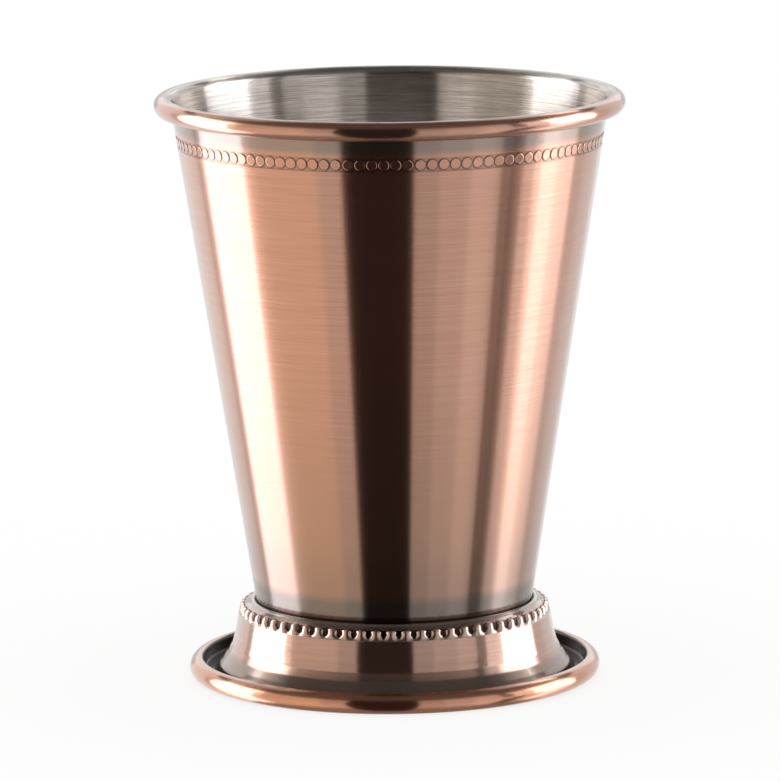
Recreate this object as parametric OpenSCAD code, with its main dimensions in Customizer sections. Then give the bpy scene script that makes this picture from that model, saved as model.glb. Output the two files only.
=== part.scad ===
// Julep cup: a tapered bowl of thin sheet on a pressed, gadrooned foot.
// The origin is the middle of the ring that the cup stands on, with +Z up.

/* [Bowl] */
// Height of the whole cup
cup_h = 114; // [104:0.5:122]
// Width across the rolled rim
mouth_w = 90.9; // [84:0.1:98]
// Width of the bowl where it enters the foot
waist_w = 54.1; // [50:0.1:57]
// Thickness of the bowl's sheet
bowl_sheet = 0.5; // [0.4:0.05:0.7]
// Depth from the foot's lip down to the drinking side of the bowl's floor
bowl_sink = 7.2; // [6.8:0.1:8]
// Inside rounding between the floor and the wall
floor_round = 3; // [1.5:0.1:5]

/* [Rim] */
// Thickness of the rolled bead at the rim
rim_bead = 3.7; // [3:0.1:4.4]
// Angle that the sheet turns through in the bead
rim_turn = 296; // [250:1:300]

/* [Coin band] */
// Drop from the top of the rim to the middle of the band
band_drop = 8.5; // [7:0.1:14]
// Height of the channel that the coins stand in
band_w = 2.6; // [2.4:0.1:3.4]
// Depth of the channel
band_depth = 0.14; // [0.08:0.01:0.2]
// Number of coins round the band
coin_count = 114; // [96:1:118]
// Width of a coin
coin_w = 2.1; // [1.9:0.05:2.2]
// Turn of the first coin from the front of the cup
coin_turn = 1.5; // [-1.5:0.1:1.5]

/* [Foot] */
// Width across the rolled hem
foot_w = 80; // [76:0.1:86]
// Height of the foot, to the sharp corner that its lip is bent from
foot_h = 16.2; // [15:0.1:18]
// Thickness of the foot's sheet
foot_sheet = 0.5; // [0.4:0.05:0.6]
// Depth of the collar that is turned down inside the lip
collar_h = 4.6; // [3.5:0.1:5]
// Space between the collar and the bowl, which the solder fills
seam_gap = 0.15; // [0.1:0.01:0.25]

/* [Lip and shoulder] */
// Outer radius of the bend at the lip
lip_round = 0.6; // [0.56:0.02:0.68]
// Width of the lip's outer slope
lip_w = 1.05; // [1:0.01:1.2]
// Drop of the lip's outer slope
lip_drop = 1.3; // [1.2:0.01:1.4]
// Width of the shoulder's slope, from the hollow behind the lip to its edge
shoulder_w = 1.1; // [0.9:0.05:1.3]
// Drop of the shoulder's slope
shoulder_drop = 0.7; // [0.5:0.05:0.9]
// Rounding of the hollow behind the lip
shoulder_round = 0.6; // [0.5:0.05:0.8]

/* [Gadroons] */
// Number of ridges round the shoulder
ridge_count = 64; // [48:1:72]
// Width of the rod that a ridge is a part of
ridge_w = 2.3; // [2:0.05:2.5]
// How far a ridge stands proud of the slope that it lies on
ridge_proud = 0.6; // [0.5:0.01:0.64]
// Height of that slope, from the step up to the shoulder's edge
slope_h = 1.75; // [1.6:0.05:1.9]
// How far the slope leans in over its height
slope_w = 0.35; // [0.25:0.05:0.45]
// Depth of the step between two ridges
step_w = 0.65; // [0.62:0.01:0.75]
// Turn of the first ridge from the front of the cup
ridge_turn = -1.3; // [-2.8:0.1:2.8]

/* [Skirt] */
// Height at which the skirt's flare would begin if it were sharp
flare_h = 5.55; // [5:0.05:6.2]
// Width of the flare, from there out to the toe
flare_w = 3; // [2.8:0.05:3.4]
// Radius of the hollow curve into the flare
flare_round = 9; // [6:0.5:10]
// Height at which the toe turns down
toe_h = 2.55; // [2.5:0.05:2.8]
// Rounding of the toe
toe_round = 1.4; // [0.8:0.1:1.5]

/* [Trough and hem] */
// Height of the trough between the toe and the hem
trough_h = 1.3; // [1.1:0.05:1.35]
// Width of the trough
trough_w = 2.68; // [2.4:0.02:3]
// Rounding at the bottom of the trough
trough_round = 0.6; // [0.4:0.05:0.65]
// Height of the rolled hem
hem_h = 4.06; // [3.6:0.02:4.4]
// Width of the rolled hem
hem_w = 2.67; // [2.6:0.01:3]
// Width of the flat strip of the hem that the cup stands on
tread_w = 0.8; // [0.5:0.05:1]

/* [Solder] */
// Height and width of the solder fillet under the collar
fillet_w = 1.2; // [0.8:0.1:1.6]

/* [Hidden] */
$fn = 48;
rim_steps = 36;
corner_turn = 9; // degrees of turn between two points of a rounded corner

// Height of the drinking side of the bowl's floor
floor_h = foot_h - bowl_sink;
// Half the rolled bead, and the middle of the rim's curl
bead_r = rim_bead / 2;
rim_centre = [mouth_w / 2 - bead_r, cup_h - bead_r];
// The bowl's outer face runs from the waist to touch the inside of the curl
waist = [waist_w / 2, foot_h];
to_rim = rim_centre - waist;
wall_lean = atan2(to_rim[0], to_rim[1]) - asin((bead_r - bowl_sheet) / norm(to_rim));
wall_out = [cos(wall_lean), -sin(wall_lean)];
wall_top = rim_centre - (bead_r - bowl_sheet) * wall_out;

// Outer radius of the bowl's wall at a height
function wall_r(z) = waist[0] + (z - waist[1]) * tan(wall_lean);

// Unit vector from one point towards another
function heading(p, q) = (q - p) / norm(q - p);

// The right-hand normal of the line from one point to another
function right_of(p, q) = let (d = heading(p, q)) [d[1], -d[0]];

// 1 where a path turns left at its middle point, and -1 where it turns right
function side(p, q, s) = sign(cross(q - p, s - q));

// Points of an arc about a centre
function arc(centre, r, from, turn, steps) =
    [for (i = [0:steps]) let (a = from + turn * i / steps) centre + r * [cos(a), sin(a)]];

// Points that round the corner at q, on the way from p to s, to radius r
function corner(p, q, s, r) =
    let (
        turn = side(p, q, s) * acos(heading(p, q) * heading(q, s)),
        inward = heading([0, 0], heading(q, p) + heading(q, s)),
        centre = q + inward * r / cos(turn / 2),
        first = atan2(-inward[1], -inward[0]) - turn / 2
    )
    r > 0 ? arc(centre, r, first, turn, ceil(abs(turn) / corner_turn)) : [q];

// A path of straight stretches with its corners rounded; a bend is [point, radius]
function rounded(bends) = [
    for (i = [0:len(bends) - 1])
        each (i == 0 || i == len(bends) - 1) ? [bends[i][0]]
            : corner(bends[i - 1][0], bends[i][0], bends[i + 1][0], bends[i][1])
];

// The bends of the face that lies a depth to the right of a path's own face
function back_of(bends, depth) = [
    for (i = [0:len(bends) - 1])
        let (
            last = len(bends) - 1,
            p = bends[max(i - 1, 0)][0],
            q = bends[i][0],
            s = bends[min(i + 1, last)][0],
            a = i == 0 ? right_of(q, s) : right_of(p, q),
            b = i == last ? right_of(p, q) : right_of(q, s),
            r = bends[i][1]
        )
        [
            q + depth * (a + b) / (1 + a * b),
            r > 0 ? max(r + depth * side(p, q, s), 0) : 0
        ]
];

// Cross-section of a sheet whose face follows the bends, with its thickness to the right
function sheet_outline(bends, thickness) =
    let (back = rounded(back_of(bends, thickness)))
    concat(rounded(bends), [for (i = [len(back) - 1:-1:0]) back[i]]);

// Middle, bottom and top of the coin band on the wall's outer face
band_h = cup_h - band_drop;
function on_wall(z, depth) = [wall_r(z), z] - depth * wall_out;

// Bowl: the face inside, from the axis to the rim, and the face outside
bowl_inner = rounded([
    [[0, floor_h], 0],
    [[wall_r(floor_h) - bowl_sheet / cos(wall_lean), floor_h], floor_round],
    [wall_top - bowl_sheet * wall_out, 0]
]);
bowl_outer = rounded([
    [[0, floor_h - bowl_sheet], 0],
    [[wall_r(floor_h - bowl_sheet), floor_h - bowl_sheet], floor_round + bowl_sheet],
    [on_wall(band_h - band_w / 2, 0), 0],
    [on_wall(band_h - band_w / 2, band_depth), 0],
    [on_wall(band_h + band_w / 2, band_depth), 0],
    [on_wall(band_h + band_w / 2, 0), 0],
    [wall_top, 0]
]);
curl_start = 180 - wall_lean;
curl_outer = arc(rim_centre, bead_r, curl_start, -rim_turn, rim_steps);
curl_inner = arc(rim_centre, bead_r - bowl_sheet, curl_start - rim_turn, rim_turn, rim_steps);

// Coins: how far a coin is let into the sheet behind the channel
coin_root = (bowl_sheet - band_depth) / 2;

// Foot: the bends of its showing face, from the bottom of the collar to the tread
collar_z = foot_h - collar_h;
lip_point = [wall_r(foot_h) + seam_gap, foot_h];
hollow_point = lip_point + [lip_w, -lip_drop];
edge_point = hollow_point + [shoulder_w, -shoulder_drop];
step_point = edge_point + [slope_w, -slope_h];
hem_r = hem_h / 2;
hem_inner = foot_w / 2 - hem_w;
toe_r = hem_inner - trough_w;
foot_bends = [
    [[wall_r(collar_z) + seam_gap, collar_z], 0],
    [lip_point, lip_round],
    [hollow_point, shoulder_round],
    [edge_point, 0],
    [step_point, 0],
    [step_point + [step_w, 0], 0],
    [[toe_r - flare_w, flare_h], flare_round],
    [[toe_r, toe_h], toe_round],
    [[toe_r, trough_h], trough_round],
    [[hem_inner, trough_h], trough_round],
    [[hem_inner, hem_h], hem_w - hem_r],
    [[foot_w / 2, hem_h], hem_r],
    [[foot_w / 2, 0], hem_r],
    [[foot_w / 2 - hem_r - tread_w, 0], 0]
];

// Ridges: rods that lie along the slope, sunk so that they stand proud by their height,
// each with a round top that ends at the shoulder's edge
ridge_r = ridge_w / 2;
ridge_sunk = ridge_r - ridge_proud;
ridge_root = foot_sheet / 2; // how far a ridge's lower end is let into the step
ridge_dir = heading(step_point, edge_point);
ridge_in = right_of(edge_point, step_point);
ridge_start = step_point + ridge_sunk * ridge_in - ridge_root * ridge_dir;
ridge_l = norm(edge_point - step_point) - sqrt(ridge_r^2 - ridge_sunk^2) + ridge_root;

// Solder: a film between the collar and the bowl, and a fillet under the collar
solder_top = foot_h - collar_h / 2;
fillet_low = collar_z - fillet_w;

// One coin: a disc let into the floor of the channel, its face level with the wall
module coin() {
    spot = on_wall(band_h, band_depth + coin_root);
    translate([spot[0], 0, spot[1]])
        rotate([0, 90 + wall_lean, 0])
            cylinder(r = coin_w / 2, h = band_depth + coin_root);
}

// Copies of a piece that stands on the +X side, spaced evenly round the cup from the front
module round_the_cup(count, turn) {
    for (i = [0:count - 1])
        rotate([0, 0, turn - 90 + i * 360 / count])
            children();
}

module bowl() {
    color([0.74, 0.49, 0.38]) {
        rotate_extrude()
            polygon(concat(
                bowl_inner,
                curl_outer,
                curl_inner,
                [for (i = [len(bowl_outer) - 1:-1:0]) bowl_outer[i]]
            ));
        round_the_cup(coin_count, coin_turn)
            coin();
    }
}

// One ridge: a rod with a round top, standing on the step and leaning along the shoulder
module ridge() {
    translate([ridge_start[0], 0, ridge_start[1]])
        rotate([0, atan2(ridge_dir[0], ridge_dir[1]), 0])
            rotate_extrude()
                union() {
                    square([ridge_r, ridge_l]);
                    translate([0, ridge_l])
                        intersection() {
                            circle(r = ridge_r);
                            square([ridge_r, ridge_r]);
                        }
                }
}

// The ridges, cut off by a cone that lies inside the thickness of the sheet
module ridges() {
    low = step_point + foot_sheet / 2 * ridge_in - ridge_w * ridge_dir;
    high = edge_point + foot_sheet / 2 * ridge_in + ridge_w * ridge_dir;
    difference() {
        round_the_cup(ridge_count, ridge_turn)
            ridge();
        translate([0, 0, low[1]])
            cylinder(r1 = low[0], r2 = high[0], h = high[1] - low[1]);
    }
}

module foot() {
    color([0.76, 0.52, 0.42]) {
        rotate_extrude()
            polygon(sheet_outline(foot_bends, foot_sheet));
        ridges();
    }
}

module solder_seam() {
    color([0.62, 0.62, 0.6])
        rotate_extrude()
            polygon([
                [wall_r(solder_top), solder_top],
                [wall_r(fillet_low), fillet_low],
                [wall_r(collar_z) + seam_gap + foot_sheet, collar_z],
                [wall_r(collar_z) + seam_gap, collar_z],
                [wall_r(solder_top) + seam_gap, solder_top]
            ]);
}

bowl();
foot();
solder_seam();
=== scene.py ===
# Julep cup: the finish of every surface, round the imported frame
from math import acos, asin, atan2, ceil, cos, degrees, pi, radians, sin, tan

import bpy
from mathutils import Matrix, Vector


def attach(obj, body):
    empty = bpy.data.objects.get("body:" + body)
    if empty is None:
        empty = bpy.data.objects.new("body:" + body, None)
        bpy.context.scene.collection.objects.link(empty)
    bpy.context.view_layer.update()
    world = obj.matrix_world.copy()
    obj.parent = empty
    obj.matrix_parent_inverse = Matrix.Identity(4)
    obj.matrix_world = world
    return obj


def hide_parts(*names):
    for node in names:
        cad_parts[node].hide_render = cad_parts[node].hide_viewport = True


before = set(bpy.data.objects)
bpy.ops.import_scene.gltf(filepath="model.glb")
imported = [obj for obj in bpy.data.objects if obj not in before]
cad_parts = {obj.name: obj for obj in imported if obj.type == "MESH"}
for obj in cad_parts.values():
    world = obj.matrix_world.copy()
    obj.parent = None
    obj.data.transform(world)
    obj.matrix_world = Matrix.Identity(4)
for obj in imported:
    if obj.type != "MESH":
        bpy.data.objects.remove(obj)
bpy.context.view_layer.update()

mm = 0.001
body = "root"
weldGap = 0.000001       # m, within which the points of a grown mesh are merged
cameraSide = -90.0       # degrees round the cup's axis from +X
print("frame loaded with", ", ".join(sorted(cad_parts)))


# Nodes: a socket that works in sums, and a bench that adds nodes to a tree
class Wire:
    def __init__(self, bench, socket):
        self.bench = bench
        self.socket = socket

    def math(self, operation, *others):
        return self.bench.add(
            "ShaderNodeMath", {"operation": operation}, dict(enumerate((self, *others)))
        )

    def __add__(self, other):
        return self.math("ADD", other)

    def __sub__(self, other):
        return self.math("SUBTRACT", other)

    def __mul__(self, other):
        return self.math("MULTIPLY", other)

    def __truediv__(self, other):
        return self.math("DIVIDE", other)

    def __rsub__(self, other):
        return self * -1 + other

    def __rtruediv__(self, other):
        return self.math("POWER", -1) * other

    __radd__ = __add__
    __rmul__ = __mul__

    def over(self, low, high):
        # 0 below low, 1 above high, smooth in between
        ends = {"Value": self, "From Min": low, "From Max": high}
        return self.bench.add("ShaderNodeMapRange", {"interpolation_type": "SMOOTHSTEP"}, ends)

    def under(self, low, high):
        # 1 below low, 0 above high, smooth in between
        return 1 - self.over(low, high)


class Bench:
    def __init__(self, tree):
        self.tree = tree

    def add(self, kind, settings=None, values=None, out=0):
        node = self.tree.nodes.new(kind)
        for name, value in (settings or {}).items():
            setattr(node, name, value)
        for name, value in (values or {}).items():
            self.plug(value, node.inputs[name])
        return Wire(self, node.outputs[out])

    def plug(self, value, socket):
        if isinstance(value, Wire):
            self.tree.links.new(value.socket, socket)
        else:
            socket.default_value = value

    def vector(self, x, y, z):
        return self.add("ShaderNodeCombineXYZ", None, {0: x, 1: y, 2: z})

    def part(self, vector, axis):
        return self.add("ShaderNodeSeparateXYZ", None, {0: vector}, axis)

    def flattened(self, vector):
        return self.vector(self.part(vector, 0), self.part(vector, 1), 0)

    def blend(self, share, first, second):
        return self.add("ShaderNodeMix", {"data_type": "RGBA"}, {0: share, 6: first, 7: second}, 2)


def linked(name, data):
    made = bpy.data.objects.new(name, data)
    bpy.context.scene.collection.objects.link(made)
    return made


# Outlines: straight stretches whose corners are rounded, in millimetres
def heading(start, end):
    return (end - start).normalized()


def arcPoints(centre, radius, start, turn, steps):
    angles = [radians(start + turn * i / steps) for i in range(steps + 1)]
    return [centre + radius * Vector((cos(angle), sin(angle))) for angle in angles]


def cornerPoints(before, point, after, radius, turnStep):
    inWay, outWay = heading(before, point), heading(point, after)
    side = 1 if inWay.cross(outWay) > 0 else -1
    turn = side * degrees(acos(max(-1, min(1, inWay.dot(outWay)))))
    inward = (outWay - inWay).normalized()
    centre = point + inward * radius / cos(radians(turn / 2))
    first = degrees(atan2(-inward.y, -inward.x)) - turn / 2
    return arcPoints(centre, radius, first, turn, ceil(abs(turn) / turnStep))


def roundedPath(bends, turnStep):
    # each bend is a point and the radius that rounds it, and a step is in degrees
    points = [bends[0][0]]
    for before, here, after in zip(bends, bends[1:], bends[2:]):
        if here[1] > 0:
            points += cornerPoints(before[0], here[0], after[0], here[1], turnStep)
        else:
            points.append(here[0])
    return points + [bends[-1][0]]


def backOf(bends, depth):
    # the bends of the face that lies a depth to the right of a path
    made = []
    for i, (point, radius) in enumerate(bends):
        before, after = bends[max(i - 1, 0)][0], bends[min(i + 1, len(bends) - 1)][0]
        inWay = heading(before, point) if i else heading(point, after)
        outWay = heading(point, after) if i < len(bends) - 1 else inWay
        inRight, outRight = Vector((inWay.y, -inWay.x)), Vector((outWay.y, -outWay.x))
        shift = depth * (inRight + outRight) / (1 + inRight.dot(outRight))
        side = 1 if inWay.cross(outWay) > 0 else -1
        rounding = max(radius + depth * side, 0) if radius > 0 else 0
        made.append((point + shift, rounding))
    return made


def supported(points, longest, hold):
    # rows close to the ends of a straight stretch keep its shading straight
    made = [points[0]]
    for start, end in zip(points, points[1:]):
        length = (end - start).length
        if length > 3 * hold:
            along = heading(start, end)
            free = length - 2 * hold
            count = ceil(free / longest)
            made += [start + along * (hold + free * i / count) for i in range(count + 1)]
        made.append(end)
    return made


def plainRows(points):
    return [{"point": point} for point in points]


# Geometry Nodes: an outline is turned round the cup's axis
def newTree(name, inputs):
    tree = bpy.data.node_groups.new(name, "GeometryNodeTree")
    for label, kind in [("Outline", "Geometry"), *inputs]:
        tree.interface.new_socket(label, in_out="INPUT", socket_type="NodeSocket" + kind)
    tree.interface.new_socket("Mesh", in_out="OUTPUT", socket_type="NodeSocketGeometry")
    bench = Bench(tree)
    start = tree.nodes.new("NodeGroupInput")
    given = {socket.name: Wire(bench, socket) for socket in start.outputs if socket.name}
    return bench, given


def outlineLength(bench, given):
    # how many rows of points the outline gives
    outline = {"Geometry": given["Outline"]}
    return bench.add("GeometryNodeAttributeDomainSize", {"component": "MESH"}, outline)


def turnedGrid(bench, given, ridges=None):
    # a grid whose columns go round the axis and whose rows follow the outline
    rows = outlineLength(bench, given)
    sizes = {"Vertices X": given["Columns"] + 1, "Vertices Y": rows}
    grid = bench.add("GeometryNodeMeshGrid", None, sizes)
    index = bench.add("GeometryNodeInputIndex")
    column = (index / rows).math("FLOOR")
    row = index - column * rows

    def sample(kind, value):
        values = {"Geometry": given["Outline"], "Value": value, "Index": row}
        return bench.add("GeometryNodeSampleIndex", {"data_type": kind}, values)

    place = sample("FLOAT_VECTOR", bench.add("GeometryNodeInputPosition"))
    radius, height = bench.part(place, 0), bench.part(place, 2)
    if ridges:
        turn, outward, upward = ridges(column, sample)
        radius, height = radius + outward, height + upward
    else:
        turn = column / given["Columns"] * (2 * pi)
    spot = bench.vector(radius * turn.math("COSINE"), radius * turn.math("SINE"), height)
    return bench.add("GeometryNodeSetPosition", None, {"Geometry": grid, "Position": spot})


def finishTree(bench, mesh):
    welding = {"Geometry": mesh, "Distance": weldGap}
    merged = bench.add("GeometryNodeMergeByDistance", None, welding)
    smooth = bench.add("GeometryNodeSetShadeSmooth", None, {"Geometry": merged})
    end = bench.tree.nodes.new("NodeGroupOutput")
    bench.plug(smooth, end.inputs["Mesh"])


def outlineObject(name, rows):
    mesh = bpy.data.meshes.new(name)
    points = [(row["point"].x * mm, 0, row["point"].y * mm) for row in rows]
    mesh.from_pydata(points, [(i, i + 1) for i in range(len(points) - 1)], [])
    for label in ("ridgeShare", "ridgeRise"):
        attribute = mesh.attributes.new(label, "FLOAT", "POINT")
        attribute.data.foreach_set("value", [row.get(label, 0) for row in rows])
    return linked(name, mesh)


def grown(source, bench, values, sharpAngle):
    # runs a tree on an outline and keeps the plain mesh that comes out
    tree = bench.tree
    modifier = source.modifiers.new(tree.name, "NODES")
    modifier.node_group = tree
    for item in tree.interface.items_tree:
        if item.in_out == "INPUT" and item.name in values:
            modifier[item.identifier] = values[item.name]
    source.update_tag()
    graph = bpy.context.evaluated_depsgraph_get()
    mesh = bpy.data.meshes.new_from_object(source.evaluated_get(graph), depsgraph=graph)
    name = source.name
    bpy.data.objects.remove(source)
    mesh.set_sharp_from_angle(angle=radians(sharpAngle))
    print(name, "has", sum(len(face.vertices) - 2 for face in mesh.polygons), "triangles")
    return linked(name, mesh)


# Finishes: linear colours, then how the metals are brushed and lacquered
metals = {
    "copper": (0.82, 0.465, 0.345),
    "copperDeep": (0.66, 0.33, 0.22),
    "lowCopper": (0.56, 0.32, 0.225),
    "footCopper": (0.76, 0.48, 0.385),
    "footCopperDeep": (0.60, 0.36, 0.27),
    # rubbed copper of the ridges, made lighter still as painted highlight
    "ridgeCopperAndGlint": (0.93, 0.71, 0.62),
    "hemCopper": (0.88, 0.45, 0.29),
    "hemCopperDeep": (0.74, 0.34, 0.20),
    "hemCrown": (0.74, 0.45, 0.36),
    "black": (0.045, 0.032, 0.028),
    # dark colour of patina in the hollows, also laid on as painted shade at the foot's lip
    "patinaAndShade": (0.10, 0.062, 0.045),
    "greyPatina": (0.36, 0.295, 0.255),
    "lowDarkTone": (0.27, 0.22, 0.19),
    "lipPatina": (0.56, 0.48, 0.42),
    "flarePatina": (0.34, 0.27, 0.225),
    "steel": (0.83, 0.78, 0.73),
    "steelDeep": (0.44, 0.385, 0.345),
    "solder": (0.42, 0.42, 0.41),
    "solderDull": (0.24, 0.24, 0.235),
}
brushing = {
    "cupRadius": 36.0,       # radius at which the lines have their length
    "spread": 0.20,          # roughness
    "insideSpread": 0.22,
    "swing": 0.04,           # how much smoother a light line is than a dark one
    "grain": 1.0,            # how far the shine is drawn out across the lines
    "grainTurn": 0.25,       # of a full turn, so that it is drawn out up and down
    "depth": 0.0000025,      # m
    "fineSeed": 1.0,
    "coarseSeed": 7.0,
    "coarseLength": 2.0,     # times the fine lines' length
    "fineShare": 0.7,
    "toneRange": (0.2, 0.8),           # line strengths for the deep and the light tone
    "detail": 2.0,           # octaves of the noise, and each one's share of the last
    "detailShare": 0.6,
    "lacquer": 1.0,
    "lacquerSpread": 0.08,
}
# Lines of each metal: length, height of the fine and of the coarse ones in mm, and contrast
lines = {
    "bowlOutside": (16.0, 0.22, 0.9, 0.8),
    "bowlInside": (9.0, 0.14, 0.34, 1.25),
    "foot": (14.0, 0.22, 0.8, 0.7),
}


def rgba(name):
    return (*metals[name], 1)


def brushedLines(bench, place, pitch, length, seed):
    # noise drawn out round the cup's axis, from 0 to 1
    flat = {0: bench.flattened(place)}
    unit = bench.add("ShaderNodeVectorMath", {"operation": "NORMALIZE"}, flat)
    stretch = brushing["cupRadius"] / length
    spot = bench.vector(
        bench.part(unit, 0) * stretch,
        bench.part(unit, 1) * stretch,
        bench.part(place, 2) / (pitch * mm),
    )
    return bench.add("ShaderNodeTexNoise", {"noise_dimensions": "4D"}, {
        "Vector": spot,
        "W": seed,
        "Scale": 1.0,
        "Detail": brushing["detail"],
        "Roughness": brushing["detailShare"],
    })


def metalShader(name):
    made = bpy.data.materials.new(name)
    made.use_nodes = True
    bench = Bench(made.node_tree)
    shader = made.node_tree.nodes["Principled BSDF"]
    shader.inputs["Metallic"].default_value = 1.0
    place = bench.add("ShaderNodeTexCoord", None, None, "Object")
    return made, bench, shader, place


def radiusOf(bench, place):
    # mm from the cup's axis
    flat = {0: bench.flattened(place)}
    return bench.add("ShaderNodeVectorMath", {"operation": "LENGTH"}, flat, "Value") / mm


def heightOf(bench, place):
    # mm above the table
    return bench.part(place, 2) / mm


def brushedMetal(bench, shader, place, kind, colour, deep, spread):
    length, finePitch, coarsePitch, contrast = lines[kind]
    coarseLength = length * brushing["coarseLength"]
    fine = brushedLines(bench, place, finePitch, length, brushing["fineSeed"])
    coarse = brushedLines(bench, place, coarsePitch, coarseLength, brushing["coarseSeed"])
    both = fine * brushing["fineShare"] + coarse * (1 - brushing["fineShare"])
    shade = (both - 0.5) * contrast
    shader.inputs["Anisotropic"].default_value = brushing["grain"]
    shader.inputs["Anisotropic Rotation"].default_value = brushing["grainTurn"]
    bench.plug(shade * -brushing["swing"] + spread, shader.inputs["Roughness"])
    relief = {"Strength": 1.0, "Distance": brushing["depth"], "Height": fine}
    bench.plug(bench.add("ShaderNodeBump", None, relief), shader.inputs["Normal"])
    return bench.blend((shade + 0.5).over(*brushing["toneRange"]), deep, colour)


def lacquered(shader):
    shader.inputs["Coat Weight"].default_value = brushing["lacquer"]
    shader.inputs["Coat Roughness"].default_value = brushing["lacquerSpread"]


# Bowl: lengths in mm, angles in degrees, and as a pair the two ends of a gradual change
bowl = {
    "height": 114.0,
    "mouthRadius": 45.45,
    "waistRadius": 27.05,
    "waistHeight": 16.2,
    "sheet": 0.5,
    "floorHeight": 9.0,
    "floorRound": 3.0,
    "bead": 3.7,
    "rimTurn": 296.0,
    "plateAngle": 73.0,      # where on the bead the outer plating ends
    "bandMiddle": 105.5,
    "bandWidth": 2.6,
    "bandDepth": 0.14,
    "coins": 114,
    "coinWidth": 2.1,
    "coinRim": 0.16,         # width of a coin's rounded edge
    "coinBevel": (0.3, 0.25),          # shares of that width and of the depth, at its bend
    "coinHold": 0.04,        # a strip beside the edge that keeps the face's shading flat
    "coinPhase": 1.5,        # degrees from the camera's line
    "coinColumns": 20,
    "coinSharp": 50.0,
    "columns": 448,
    "cornerStep": 9.0,
    "curlSteps": 30,         # on the hidden side of the rolled rim
    "beadSteps": 48,
    "rowLength": 8.0,        # longest row, and how close one lies to a stretch's ends
    "rowHold": 0.2,
    "sharp": 35.0,
    "deepTone": (22.0, 78.0),          # heights over which the copper gets lighter
    "rimAge": 0.85,
    "rimAgeStart": (106.7, 108.4),
    "rimAgeEnd": (110.2, 110.6),
    "darkAboveFoot": (18.2, 22.2),           # above the foot, then its faint upper part
    "darkLowWall": (20.0, 34.0),
    "darkLowWallShare": 0.35,
    "darkDulls": 0.6,         # share of the lacquer taken off where the wall is darker above the foot
    "seamShade": (16.1, 16.6),         # the dark line at the foot's lip: painted shade, over patina in the groove
    "channelShade": 0.3,
    "channelReach": (0.05, 0.15),      # past the band's edges
    "coinEdge": (-0.05, 0.05),         # these three from a coin's edge outwards
    "lineStart": (-0.12, -0.02),
    "lineEnd": (0.13, 0.24),
    "lineShade": 0.56,
}
beadRadius = bowl["bead"] / 2
rimCentre = Vector((bowl["mouthRadius"] - beadRadius, bowl["height"] - beadRadius))
waist = Vector((bowl["waistRadius"], bowl["waistHeight"]))
toRim = rimCentre - waist
wallLean = degrees(
    atan2(toRim.x, toRim.y) - asin((beadRadius - bowl["sheet"]) / toRim.length)
)
wallOut = Vector((cos(radians(wallLean)), -sin(radians(wallLean))))
wallTop = rimCentre - (beadRadius - bowl["sheet"]) * wallOut
coinStart = radians(bowl["coinPhase"] + cameraSide)


def wallRadius(height):
    return waist.x + (height - waist.y) * tan(radians(wallLean))


def onWall(height, depth):
    return Vector((wallRadius(height), height)) - depth * wallOut


def rimAngle(point):
    # angle round the bead, from straight outward
    spoke = point - rimCentre
    return degrees(atan2(spoke.y, spoke.x))


def bowlOutline():
    # from the axis under the floor, up the outside, round the bead and down the inside
    under = bowl["floorHeight"] - bowl["sheet"]
    low = bowl["bandMiddle"] - bowl["bandWidth"] / 2
    high = bowl["bandMiddle"] + bowl["bandWidth"] / 2
    outside = roundedPath([
        (Vector((0, under)), 0),
        (Vector((wallRadius(under), under)), bowl["floorRound"] + bowl["sheet"]),
        (onWall(low, 0), 0),
        (onWall(low, bowl["bandDepth"]), 0),
        (onWall(high, bowl["bandDepth"]), 0),
        (onWall(high, 0), 0),
        (wallTop, 0),
    ], bowl["cornerStep"])
    start, turn = 180 - wallLean, bowl["rimTurn"]
    innerRadius = beadRadius - bowl["sheet"]
    curlIn = arcPoints(rimCentre, innerRadius, start, -turn, bowl["curlSteps"])
    curlOut = arcPoints(rimCentre, beadRadius, start - turn, turn, bowl["beadSteps"])
    floor = Vector((
        wallRadius(bowl["floorHeight"]) - bowl["sheet"] / cos(radians(wallLean)),
        bowl["floorHeight"],
    ))
    inside = roundedPath([
        (wallTop - bowl["sheet"] * wallOut, 0),
        (floor, bowl["floorRound"]),
        (Vector((0, bowl["floorHeight"])), 0),
    ], bowl["cornerStep"])
    outer = supported(outside[:-1] + curlIn, bowl["rowLength"], bowl["rowHold"])
    bead = curlOut[:-1]
    inner = supported(inside, bowl["rowLength"], bowl["rowHold"])
    plated = sum(1 for point in bead if rimAngle(point) < bowl["plateAngle"])
    return outer + bead + inner, len(outer) + plated


def coinOutline():
    # from the middle of the coin's back out to its edge, then over its face
    face, edge, drop = bowl["coinWidth"] / 2, bowl["coinRim"], bowl["bandDepth"]
    bendIn, bendDown = bowl["coinBevel"]
    return [
        Vector((0, -drop)),
        Vector((face, -drop)),
        Vector((face - edge * bendIn, -drop * bendDown)),
        Vector((face - edge, 0)),
        Vector((face - edge - bowl["coinHold"], 0)),
        Vector((0, 0)),
    ]


def makeCoin():
    bench, given = newTree("coinTurning", [("Columns", "Int")])
    finishTree(bench, turnedGrid(bench, given))
    outline = outlineObject("coin", plainRows(coinOutline()))
    return grown(outline, bench, {"Columns": bowl["coinColumns"]}, bowl["coinSharp"])


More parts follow.
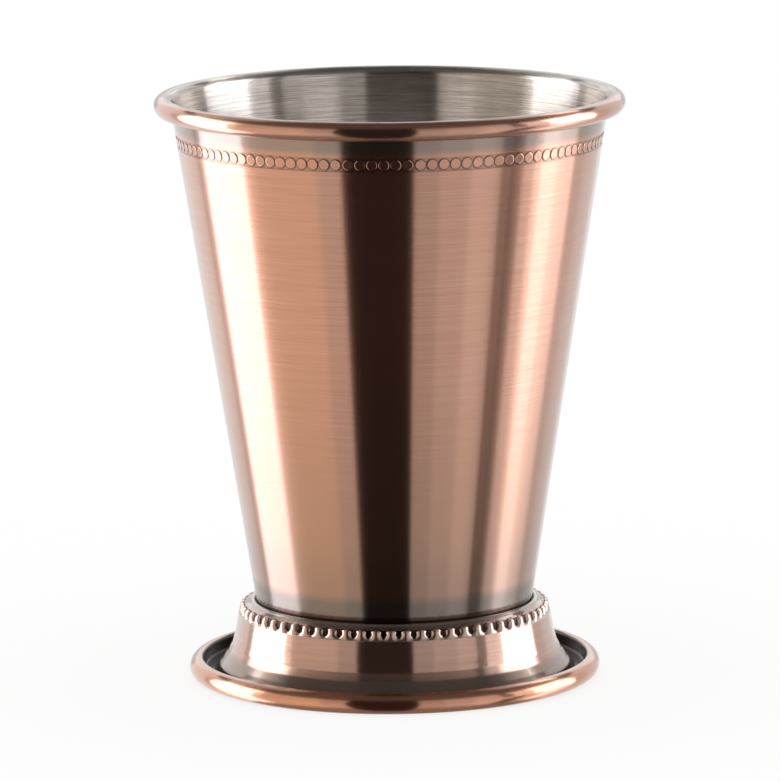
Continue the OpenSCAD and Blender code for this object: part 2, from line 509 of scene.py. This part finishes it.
def coinRing(bench, given):
    # coins round the band, each turned to face outwards
    turn = bench.add("GeometryNodeInputIndex") / given["Coins"] * (2 * pi) + given["Coin Phase"]
    points = bench.add("GeometryNodePoints", None, {
        "Count": given["Coins"],
        "Position": bench.vector(
            given["Coin Radius"] * turn.math("COSINE"),
            given["Coin Radius"] * turn.math("SINE"),
            given["Coin Height"],
        ),
    })
    angles = {0: bench.vector(0, given["Coin Lean"], turn)}
    coin = bench.add("GeometryNodeObjectInfo", None, {"Object": given["Coin"]}, "Geometry")
    ring = bench.add("GeometryNodeInstanceOnPoints", None, {
        "Points": points,
        "Instance": coin,
        "Rotation": bench.add("FunctionNodeEulerToRotation", None, angles),
    })
    real = bench.add("GeometryNodeRealizeInstances", None, {"Geometry": ring})
    copper = {"Geometry": real, "Material": given["Outside"]}
    return bench.add("GeometryNodeSetMaterial", None, copper)


def makeBowl(outsideMetal, insideMetal):
    bench, given = newTree("bowlTurning", [
        ("Columns", "Int"), ("Plated Rows", "Float"), ("Coins", "Int"), ("Coin", "Object"),
        ("Coin Radius", "Float"), ("Coin Height", "Float"), ("Coin Lean", "Float"),
        ("Coin Phase", "Float"), ("Outside", "Material"), ("Inside", "Material"),
    ])
    copper = {"Geometry": turnedGrid(bench, given), "Material": given["Outside"]}
    plated = bench.add("GeometryNodeSetMaterial", None, copper)
    faceRow = bench.add("GeometryNodeInputIndex").math("MODULO", outlineLength(bench, given) - 1)
    steel = {
        "Geometry": plated,
        "Selection": faceRow.math("GREATER_THAN", given["Plated Rows"]),
        "Material": given["Inside"],
    }
    sheet = bench.add("GeometryNodeSetMaterial", None, steel)
    join = bench.tree.nodes.new("GeometryNodeJoinGeometry")
    bench.plug(coinRing(bench, given), join.inputs[0])
    bench.plug(sheet, join.inputs[0])
    finishTree(bench, Wire(bench, join.outputs[0]))

    coin = makeCoin()
    points, platedRows = bowlOutline()
    middle = onWall(bowl["bandMiddle"], 0)
    made = grown(outlineObject("cup_bowl", plainRows(points)), bench, {
        "Columns": bowl["columns"],
        "Plated Rows": platedRows - 1.5,     # between the last plated face and the next
        "Coins": bowl["coins"],
        "Coin": coin,
        "Coin Radius": middle.x * mm,
        "Coin Height": middle.y * mm,
        "Coin Lean": radians(90 + wallLean),
        "Coin Phase": coinStart,
        "Outside": outsideMetal,
        "Inside": insideMetal,
    }, bowl["sharp"])
    bpy.data.objects.remove(coin)
    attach(made, body)
    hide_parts("bowl")


def coinDistance(bench, place, height):
    # mm from the nearest coin's edge, less than 0 on the coin
    spacing = 2 * pi / bowl["coins"]
    angle = bench.part(place, 1).math("ARCTAN2", bench.part(place, 0))
    turns = (angle - coinStart) / spacing
    across = (turns - (turns + 0.5).math("FLOOR")) * (spacing * wallRadius(bowl["bandMiddle"]))
    up = (height - bowl["bandMiddle"]) / cos(radians(wallLean))
    return (across * across + up * up).math("SQRT") - bowl["coinWidth"] / 2


def bowlOutsideMetal():
    made, bench, shader, place = metalShader("bowlCopper")
    height = heightOf(bench, place)
    lacquered(shader)
    tone = brushedMetal(
        bench, shader, place, "bowlOutside", rgba("copper"), rgba("copperDeep"),
        brushing["spread"],
    )
    # a deeper tone low on the wall, grey brown age under the bead, and a darker grey brown tone
    # above the foot
    tone = bench.blend(height.under(*bowl["deepTone"]), tone, rgba("lowCopper"))
    worn = height.over(*bowl["rimAgeStart"]) * height.under(*bowl["rimAgeEnd"])
    tone = bench.blend(worn * bowl["rimAge"], tone, rgba("greyPatina"))
    faint = height.under(*bowl["darkLowWall"]) * bowl["darkLowWallShare"]
    low = height.under(*bowl["darkAboveFoot"]).math("MAXIMUM", faint)
    tone = bench.blend(low, tone, rgba("lowDarkTone"))
    coat = (1 - low * bowl["darkDulls"]) * brushing["lacquer"]
    bench.plug(coat, shader.inputs["Coat Weight"])
    # painted shade where the wall meets the foot's lip, over patina in the groove
    tone = bench.blend(height.under(*bowl["seamShade"]), tone, rgba("patinaAndShade"))
    # a deeper tone on the channel's floor, and a dark line round each coin
    reach = [bowl["bandWidth"] / 2 + past for past in bowl["channelReach"]]
    channel = (height - bowl["bandMiddle"]).math("ABSOLUTE").under(*reach)
    apart = coinDistance(bench, place, height)
    ground = channel * apart.over(*bowl["coinEdge"])
    tone = bench.blend(ground * bowl["channelShade"], tone, rgba("patinaAndShade"))
    line = channel * apart.over(*bowl["lineStart"]) * apart.under(*bowl["lineEnd"])
    tone = bench.blend(line * bowl["lineShade"], tone, rgba("patinaAndShade"))
    bench.plug(tone, shader.inputs["Base Color"])
    return made


def bowlInsideMetal():
    made, bench, shader, place = metalShader("bowlSteel")
    tone = brushedMetal(
        bench, shader, place, "bowlInside", rgba("steel"), rgba("steelDeep"),
        brushing["insideSpread"],
    )
    bench.plug(tone, shader.inputs["Base Color"])
    return made


# Foot: lengths in mm, angles in degrees, and as a pair the two ends of a gradual change
foot = {
    "lipHeight": 16.2,
    "sheet": 0.5,
    "collar": 4.6,
    "seamGap": 0.15,
    "lipRound": 0.6,
    "lipWidth": 1.05,
    "lipDrop": 1.3,
    "hollowRound": 0.6,
    "edgeRadius": 29.35,
    "edgeHeight": 14.2,
    "stepRadius": 29.7,
    "skirtHeight": 12.45,
    "skirtTopRadius": 30.35,
    "flareRadius": 31.65,
    "flareHeight": 5.55,
    "flareRound": 9.0,
    "toeRadius": 34.65,
    "toeHeight": 2.55,
    "toeRound": 1.4,
    "troughHeight": 1.3,
    "troughRound": 0.6,
    "hemRadius": 40.0,
    "hemHeight": 4.06,
    "hemWidth": 2.67,
    "tread": 0.8,
    "ridges": 64,
    "ridgeRound": 1.15,      # radius of a ridge's rounded face
    "ridgeProud": 0.6,
    "ridgePhase": -1.3,      # degrees from the camera's line
    "ridgeTop": 0.5,         # how far the ridges' tops reach over the shoulder above them
    "scoop": 1.0,            # height over which the ridges spread to meet at their lower ends
    "scoopCurve": 1.5,
    "scoopSpread": 0.6,
    "ridgeColumns": 10,
    "creaseShare": 0.6,      # share of the columns that lie on a ridge
    "ridgeRows": 11,
    "shoulderRows": 5,
    "ledgeRows": (0.85, 0.5, 0),       # shares of the way from the ridges to the skirt
    "upperStep": 15.0,       # degrees to a row on a rounded corner, in three stretches
    "lowerStep": 12.0,
    "backStep": 45.0,
    "rowLength": 4.0,        # longest row, and how close one lies to a stretch's ends
    "rowHold": 0.2,
    "backRowLength": 20.0,
    "backRowHold": 0.3,
    "sharp": 35.0,
    "hemStart": (37.3, 37.8),          # radii
    "hemSide": (38.5, 39.3),
    "flareAge": 0.8,
    "flareAgeEnd": (4.4, 6.2),
    "troughEnd": (1.9, 3.2),
    "troughStart": (36.0, 36.8),       # radii
    "lipAge": 0.95,
    "lipAgeStart": (14.35, 14.8),
    "ridgeStart": (12.3, 12.5),
    "ridgeEdge": (29.05, 29.25),       # radii
    "ridgeLean": 0.3,        # how much a crown's radius shrinks with each mm of height
    "hollow": (0.36, 0.50),            # depths under the crowns
    "ridgeRubAndGlint": 0.9,
    "ridgeBare": 0.7,        # share of the lacquer that is gone from the ridges
    "ridgeSpread": 0.16,     # added to the roughness on the ridges
}
stepPoint = Vector((foot["stepRadius"], foot["skirtHeight"]))
edgePoint = Vector((foot["edgeRadius"], foot["edgeHeight"]))
ridgeWay = heading(stepPoint, edgePoint)
ridgeOut = Vector((ridgeWay.y, -ridgeWay.x))
ridgeLength = (edgePoint - stepPoint).length
ridgeSink = foot["ridgeRound"] - foot["ridgeProud"]
ridgeHalf = (foot["ridgeRound"] ** 2 - ridgeSink ** 2) ** 0.5


def footBends():
    # the showing face, from the bottom of the collar to the tread
    collarHeight = foot["lipHeight"] - foot["collar"]
    lip = Vector((wallRadius(foot["lipHeight"]) + foot["seamGap"], foot["lipHeight"]))
    hemInner = foot["hemRadius"] - foot["hemWidth"]
    hemRound = foot["hemHeight"] / 2
    return [
        (Vector((wallRadius(collarHeight) + foot["seamGap"], collarHeight)), 0),
        (lip, foot["lipRound"]),
        (lip + Vector((foot["lipWidth"], -foot["lipDrop"])), foot["hollowRound"]),
        (edgePoint, 0),
        (stepPoint, 0),
        (Vector((foot["skirtTopRadius"], foot["skirtHeight"])), 0),
        (Vector((foot["flareRadius"], foot["flareHeight"])), foot["flareRound"]),
        (Vector((foot["toeRadius"], foot["toeHeight"])), foot["toeRound"]),
        (Vector((foot["toeRadius"], foot["troughHeight"])), foot["troughRound"]),
        (Vector((hemInner, foot["troughHeight"])), foot["troughRound"]),
        (Vector((hemInner, foot["hemHeight"])), foot["hemWidth"] - hemRound),
        (Vector((foot["hemRadius"], foot["hemHeight"])), hemRound),
        (Vector((foot["hemRadius"], 0)), hemRound),
        (Vector((foot["hemRadius"] - hemRound - foot["tread"], 0)), 0),
    ]


def ridgeRows(skirtTop, shoulder):
    # rows from the skirt's top up the ridges and over the straight part of the shoulder
    rows = []
    for share in foot["ledgeRows"]:
        rows.append({"point": stepPoint.lerp(skirtTop, share), "ridgeShare": 1 - share})
    for i in range(1, foot["ridgeRows"]):
        along = sin(pi / 2 * (i / foot["ridgeRows"]))
        point = stepPoint.lerp(edgePoint, along)
        rows.append({"point": point, "ridgeShare": 1, "ridgeRise": along * ridgeLength})
    for i in range(foot["shoulderRows"]):
        point = edgePoint.lerp(shoulder, i / foot["shoulderRows"])
        rise = ridgeLength + (point - edgePoint).length
        rows.append({"point": point, "ridgeShare": 1, "ridgeRise": rise})
    return rows


def footOutline():
    # the showing face from the tread up to the collar, then the back of the sheet
    bends = footBends()
    split = [bend[0] for bend in bends].index(edgePoint)
    length, hold = foot["rowLength"], foot["rowHold"]
    upper = supported(roundedPath(bends[:split + 1], foot["upperStep"])[:-1], length, hold)
    lower = supported(roundedPath(bends[split + 2:], foot["lowerStep"]), length, hold)
    back = roundedPath(backOf(bends, foot["sheet"]), foot["backStep"])
    rows = plainRows(reversed(lower))
    rows += ridgeRows(lower[0], upper[-1])
    rows += plainRows(reversed(upper))
    rows += plainRows(supported(back, foot["backRowLength"], foot["backRowHold"]))
    return rows + [rows[0]]


def ridgeTurn(given, column):
    # columns gather on the ridges; also gives the distance from the ridge's middle
    ridge = (column / given["Ridge Columns"]).math("ROUND")
    step = column - ridge * given["Ridge Columns"]
    share = step.math("ABSOLUTE") / (given["Ridge Columns"] * 0.5)
    onRidge = (share / given["Crease Share"]).math("MINIMUM", 1) * (pi / 2)
    past = (share - given["Crease Share"]).math("MAXIMUM", 0) / (1 - given["Crease Share"])
    halfPitch = given["Ridge Columns"] / given["Columns"] * pi
    crease = given["Ridge Half"] / given["Ridge Radius"]
    offset = onRidge.math("SINE") * crease + past * (halfPitch - crease)
    turn = ridge * halfPitch * 2 + step.math("SIGN") * offset + given["Ridge Phase"]
    return turn, offset * given["Ridge Radius"]


def ridgeLift(bench, given, across, sample):
    # a rod with a round top, sunk so that it stands proud of the slope
    def outlineValue(name):
        kind = {"data_type": "FLOAT"}
        return sample("FLOAT", bench.add("GeometryNodeInputNamedAttribute", kind, {"Name": name}))

    rise = outlineValue("ridgeRise") * mm
    dome = (rise - given["Dome Start"]).math("MAXIMUM", 0)
    flush = (1 - rise / given["Scoop"]).math("MAXIMUM", 0).math("POWER", foot["scoopCurve"])
    inner = across * (1 - flush * foot["scoopSpread"])
    room = given["Ridge Round"] * given["Ridge Round"] - inner * inner - dome * dome
    proud = (room.math("MAXIMUM", 0).math("SQRT") - given["Ridge Sink"]).math("MAXIMUM", 0)
    proud = proud * outlineValue("ridgeShare")
    return proud * given["Out R"], proud * given["Out Z"]


def makeFoot(metal):
    bench, given = newTree("footTurning", [
        ("Columns", "Int"), ("Ridge Columns", "Int"), ("Crease Share", "Float"),
        ("Ridge Radius", "Float"), ("Ridge Half", "Float"), ("Ridge Round", "Float"),
        ("Ridge Sink", "Float"), ("Ridge Phase", "Float"), ("Dome Start", "Float"),
        ("Scoop", "Float"), ("Out R", "Float"), ("Out Z", "Float"), ("Metal", "Material"),
    ])

    def ridges(column, sample):
        turn, across = ridgeTurn(given, column)
        return turn, *ridgeLift(bench, given, across, sample)

    copper = {"Geometry": turnedGrid(bench, given, ridges), "Material": given["Metal"]}
    finishTree(bench, bench.add("GeometryNodeSetMaterial", None, copper))
    made = grown(outlineObject("cup_foot", footOutline()), bench, {
        "Columns": foot["ridges"] * foot["ridgeColumns"],
        "Ridge Columns": foot["ridgeColumns"],
        "Crease Share": foot["creaseShare"],
        "Ridge Radius": foot["stepRadius"] * mm,
        "Ridge Half": ridgeHalf * mm,
        "Ridge Round": foot["ridgeRound"] * mm,
        "Ridge Sink": ridgeSink * mm,
        "Ridge Phase": radians(foot["ridgePhase"] + cameraSide),
        "Dome Start": (ridgeLength + foot["ridgeTop"] - ridgeHalf) * mm,
        "Scoop": foot["scoop"] * mm,
        "Out R": ridgeOut.x,
        "Out Z": ridgeOut.y,
        "Metal": metal,
    }, foot["sharp"])
    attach(made, body)
    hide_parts("foot")


def footMetal():
    made, bench, shader, place = metalShader("footCopper")
    radius, height = radiusOf(bench, place), heightOf(bench, place)
    lacquered(shader)
    # copper that is redder on the hem and greyer on the skirt
    hem = radius.over(*foot["hemStart"])
    side = radius.over(*foot["hemSide"])
    deep = bench.blend(side, rgba("footCopperDeep"), rgba("hemCopperDeep"))
    light = bench.blend(hem, rgba("footCopper"), rgba("hemCrown"))
    light = bench.blend(side, light, rgba("hemCopper"))
    ridge = height.over(*foot["ridgeStart"]) * radius.over(*foot["ridgeEdge"])
    spread = ridge * foot["ridgeSpread"] + brushing["spread"]
    tone = brushedMetal(bench, shader, place, "foot", light, deep, spread)
    # aged flare, trough and lip
    inside = 1 - hem
    flare = height.under(*foot["flareAgeEnd"]) * inside * foot["flareAge"]
    tone = bench.blend(flare, tone, rgba("flarePatina"))
    trough = height.under(*foot["troughEnd"]).math("MAXIMUM", radius.over(*foot["troughStart"]))
    trough = trough * inside
    tone = bench.blend(trough, tone, rgba("black"))
    tone = bench.blend(height.over(*foot["lipAgeStart"]) * foot["lipAge"], tone, rgba("lipPatina"))
    # ridges rubbed bright and lightened further as painted highlight for their glints, with dark
    # hollows between them
    crown = foot["skirtTopRadius"] - (height - foot["skirtHeight"]) * foot["ridgeLean"]
    sunk = (crown - radius).over(*foot["hollow"])
    tone = bench.blend((1 - sunk) * ridge * foot["ridgeRubAndGlint"], tone, rgba("ridgeCopperAndGlint"))
    gap = sunk * ridge
    tone = bench.blend(gap, tone, rgba("black"))
    bare = trough.math("MAXIMUM", ridge * foot["ridgeBare"]).math("MAXIMUM", gap)
    bench.plug((1 - bare) * brushing["lacquer"], shader.inputs["Coat Weight"])
    bench.plug(tone, shader.inputs["Base Color"])
    return made


# Solder seam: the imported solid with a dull, clouded finish
solder = {
    "cloudScale": 900.0,
    "cloudDetail": 3.0,
    "cloudRange": (0.35, 0.65),
    "spread": 0.35,
    "cloudSpread": 0.2,
    "depth": 0.00004,        # m
}


def solderMetal():
    made, bench, shader, place = metalShader("greySolder")
    clouds = {"Vector": place, "Scale": solder["cloudScale"], "Detail": solder["cloudDetail"]}
    cloud = bench.add("ShaderNodeTexNoise", None, clouds)
    tone = bench.blend(cloud.over(*solder["cloudRange"]), rgba("solderDull"), rgba("solder"))
    bench.plug(tone, shader.inputs["Base Color"])
    bench.plug(cloud * solder["cloudSpread"] + solder["spread"], shader.inputs["Roughness"])
    relief = {"Distance": solder["depth"], "Height": cloud}
    bench.plug(bench.add("ShaderNodeBump", None, relief), shader.inputs["Normal"])
    return made


makeBowl(bowlOutsideMetal(), bowlInsideMetal())
makeFoot(footMetal())
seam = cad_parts["solder_seam"]
seam.data.materials.clear()
seam.data.materials.append(solderMetal())
print("cup made")

# Studio: pale floor, white surroundings, and cards that only the metal shows
studio = {
    "floorSize": 8.0,        # m
    "floorDrop": 0.02,       # mm below the strip that the cup stands on
    "floorColour": (1.0, 1.0, 1.0, 1),
    "floorGlow": 0.8,        # share of the floor that the camera sees as plain white
    "surround": 1.0,
    "nearDistance": 2.8,     # m from the origin, as the next two are
    "cardDistance": 3.0,
    "capDistance": 3.3,
    "cardStep": 3.0,         # degrees to a face of a card
}
# Each card: degrees round the cup from the camera's side, to the right, then degrees above the
# horizon, its colour and its level
white = (1.0, 1.0, 1.0)
warm = (1.0, 0.99, 0.97)
cool = (0.98, 1.0, 1.04)
cards = {
    "frontFlag": (-27.2, 13.2, -76, 42, (1.0, 0.75, 0.7), 0.028),
    "rightFillNear": (13.2, 28.0, -46, 34, warm, 0.52),
    "rightFillMiddle": (28.0, 46.0, -46, 34, warm, 0.63),
    "rightFillFar": (46.0, 65.0, -46, 34, warm, 0.77),
    "rightFlag": (65.0, 79.0, -46, 33, warm, 0.04),
    "rightBoxEdge": (79.0, 92.0, -46, 33, white, 0.74),
    "rightBox": (92.0, 106.0, -46, 33, cool, 1.85),
    "rightBoxFall": (106.0, 113.0, -46, 33, white, 1.25),
    "rightBoxTail": (113.0, 120.0, -46, 33, white, 0.95),
    "rightWing": (120.0, 134.0, -46, 28, warm, 0.66),
    "rightRear": (134.0, 158.0, -46, 30, white, 0.72),
    "leftFillNear": (-42.0, -27.2, -46, 34, (1.0, 0.95, 0.9), 0.64),
    "leftFillFar": (-88.2, -42.0, -46, 34, (1.0, 0.88, 0.74), 0.80),
    "leftBox": (-124.5, -88.2, -46, 33, (0.94, 0.97, 1.08), 2.5),
    "leftWing": (-132.0, -124.5, -46, 28, (1.0, 0.97, 0.95), 0.62),
    "leftRear": (-158.0, -132.0, -46, 30, white, 0.88),
    "backLow": (158.0, 202.0, -46, -4, white, 0.84),
    "backStrip": (158.0, 202.0, -4, 9, white, 0.60),
    "backLeft": (-170.0, -158.0, 9, 46, white, 1.0),
    "backRight": (158.0, 170.0, 9, 46, white, 1.0),
    "backMiddle": (170.0, 190.0, 9, 46, white, 0.95),
}
# Cards in front of those: other levels for the parts that look level or upward
nearCards = {
    "rightUpperNear": (13.2, 28.0, -3, 34, warm, 0.45),
    "rightUpperMiddle": (28.0, 46.0, -3, 34, warm, 0.55),
    "rightUpperFar": (46.0, 61.5, -3, 34, warm, 0.65),
    "rightUpperFlag": (61.5, 69.5, -18, -3, white, 0.85),
    "rightSkirtFlag": (61.5, 69.5, -3, 33, warm, 0.20),
    "rightUpperEdge": (69.5, 84.0, -11, 33, white, 1.15),
    "rightUpper": (84.0, 119.0, -11, 33, cool, 3.3),
    "leftUpperNear": (-42.0, -27.2, -3, 34, (1.0, 0.93, 0.88), 0.50),
    "leftUpperFar": (-80.0, -42.0, -3, 34, (1.0, 0.90, 0.79), 0.66),
    "leftUpperEdge": (-86.0, -80.0, -9, 33, (1.0, 0.96, 0.9), 1.15),
    "leftUpper": (-118.0, -86.0, -11, 33, white, 3.5),
    "rightHigh": (141.0, 160.0, 37.5, 45.5, white, 2.1),
    "rightHigher": (134.0, 166.0, 45.5, 58, white, 0.55),
    "leftHigh": (-166.0, -124.0, 36, 58, white, 0.50),
}
# All the way round: degrees above the horizon, colour and level
caps = {
    "ceiling": (28.0, 90.0, (1.0, 0.92, 0.86), 0.10),
    "underCard": (-90.0, -46.0, (1.0, 0.95, 0.9), 0.26),
}


def cardMaterial(name, colour, level):
    made = bpy.data.materials.new(name)
    made.use_nodes = True
    made.node_tree.nodes.clear()
    bench = Bench(made.node_tree)
    glow = bench.add("ShaderNodeEmission", None, {"Color": (*colour, 1), "Strength": level})
    end = made.node_tree.nodes.new("ShaderNodeOutputMaterial")
    bench.plug(glow, end.inputs["Surface"])
    return made


def makeCard(name, distance, left, right, low, high, colour, level):
    # a stretch of a sphere round the cup, seen by shiny surfaces alone
    across = ceil((right - left) / studio["cardStep"])
    upright = ceil((high - low) / studio["cardStep"])
    points, faces = [], []
    for i in range(across + 1):
        turn = radians(left + (right - left) * i / across)
        for j in range(upright + 1):
            rise = radians(low + (high - low) * j / upright)
            spot = Vector((sin(turn) * cos(rise), -cos(turn) * cos(rise), sin(rise)))
            points.append(spot * distance)
    for i in range(across):
        for j in range(upright):
            first = i * (upright + 1) + j
            after = first + upright + 1
            faces.append((first, first + 1, after + 1, after))
    mesh = bpy.data.meshes.new(name)
    mesh.from_pydata(points, [], faces)
    mesh.materials.append(cardMaterial(name, colour, level))
    made = linked(name, mesh)
    made.visible_camera = False
    made.visible_diffuse = False
    made.visible_shadow = False
    made.visible_transmission = False


def floorPaint():
    made = bpy.data.materials.new("floorPaint")
    made.use_nodes = True
    shader = made.node_tree.nodes["Principled BSDF"]
    shader.inputs["Base Color"].default_value = studio["floorColour"]
    shader.inputs["Roughness"].default_value = 1.0
    shader.inputs["Specular IOR Level"].default_value = 0.0
    bench = Bench(made.node_tree)
    lit = Wire(bench, shader.outputs["BSDF"])
    glow = bench.add("ShaderNodeEmission", None, {"Color": (*white, 1), "Strength": 1.0})
    seen = bench.add("ShaderNodeLightPath", None, None, "Is Camera Ray") * studio["floorGlow"]
    mixed = bench.add("ShaderNodeMixShader", None, {0: seen, 1: lit, 2: glow})
    bench.plug(mixed, made.node_tree.nodes["Material Output"].inputs["Surface"])
    return made


def makeFloor():
    half = studio["floorSize"] / 2
    down = -studio["floorDrop"] * mm
    sides = ((-half, -half), (half, -half), (half, half), (-half, half))
    mesh = bpy.data.meshes.new("floor")
    mesh.from_pydata([(x, y, down) for x, y in sides], [], [(0, 1, 2, 3)])
    mesh.materials.append(floorPaint())
    made = linked("floor", mesh)
    made.visible_glossy = False


def makeSurround():
    world = bpy.data.worlds.new("whiteRoom")
    world.use_nodes = True
    sky = world.node_tree.nodes["Background"]
    sky.inputs["Color"].default_value = (*white, 1)
    sky.inputs["Strength"].default_value = studio["surround"]
    bpy.context.scene.world = world
    bpy.context.scene.view_settings.view_transform = "Standard"


for name, values in cards.items():
    makeCard(name, studio["cardDistance"], *values)
for name, values in nearCards.items():
    makeCard(name, studio["nearDistance"], *values)
for name, values in caps.items():
    makeCard(name, studio["capDistance"], -180, 180, *values)
makeFloor()
makeSurround()
print("studio has", len(cards) + len(nearCards) + len(caps), "cards")

# Camera: fitted to the photograph's 780 by 781 frame
cameraFit = {
    "distance": 1312.99,     # mm from the point that it looks at
    "elevation": 9.706,
    "aimHeight": 55.857,
    "focalPixels": 6767.9,
    "longSide": 781,
    "middleOffset": 2.28,    # pixels by which the axis lies right of the middle
    "roll": -0.549,
    "sensor": 36.0,
    "farthest": 20.0,        # m
}


def makeCamera():
    data = bpy.data.cameras.new("camera")
    made = linked("camera", data)
    data.sensor_width = cameraFit["sensor"]
    data.lens = cameraFit["sensor"] * cameraFit["focalPixels"] / cameraFit["longSide"]
    data.shift_x = -cameraFit["middleOffset"] / cameraFit["longSide"]
    data.clip_end = cameraFit["farthest"]
    rise = radians(cameraFit["elevation"])
    back = Vector((0, -cos(rise), sin(rise)))
    aim = Vector((0, 0, cameraFit["aimHeight"] * mm))
    turn = back.to_track_quat("Z", "Y").to_matrix().to_4x4()
    roll = Matrix.Rotation(radians(cameraFit["roll"]), 4, "Z")
    place = Matrix.Translation(aim + back * cameraFit["distance"] * mm)
    made.matrix_world = place @ turn @ roll
    bpy.context.scene.camera = made


makeCamera()
print("camera placed")
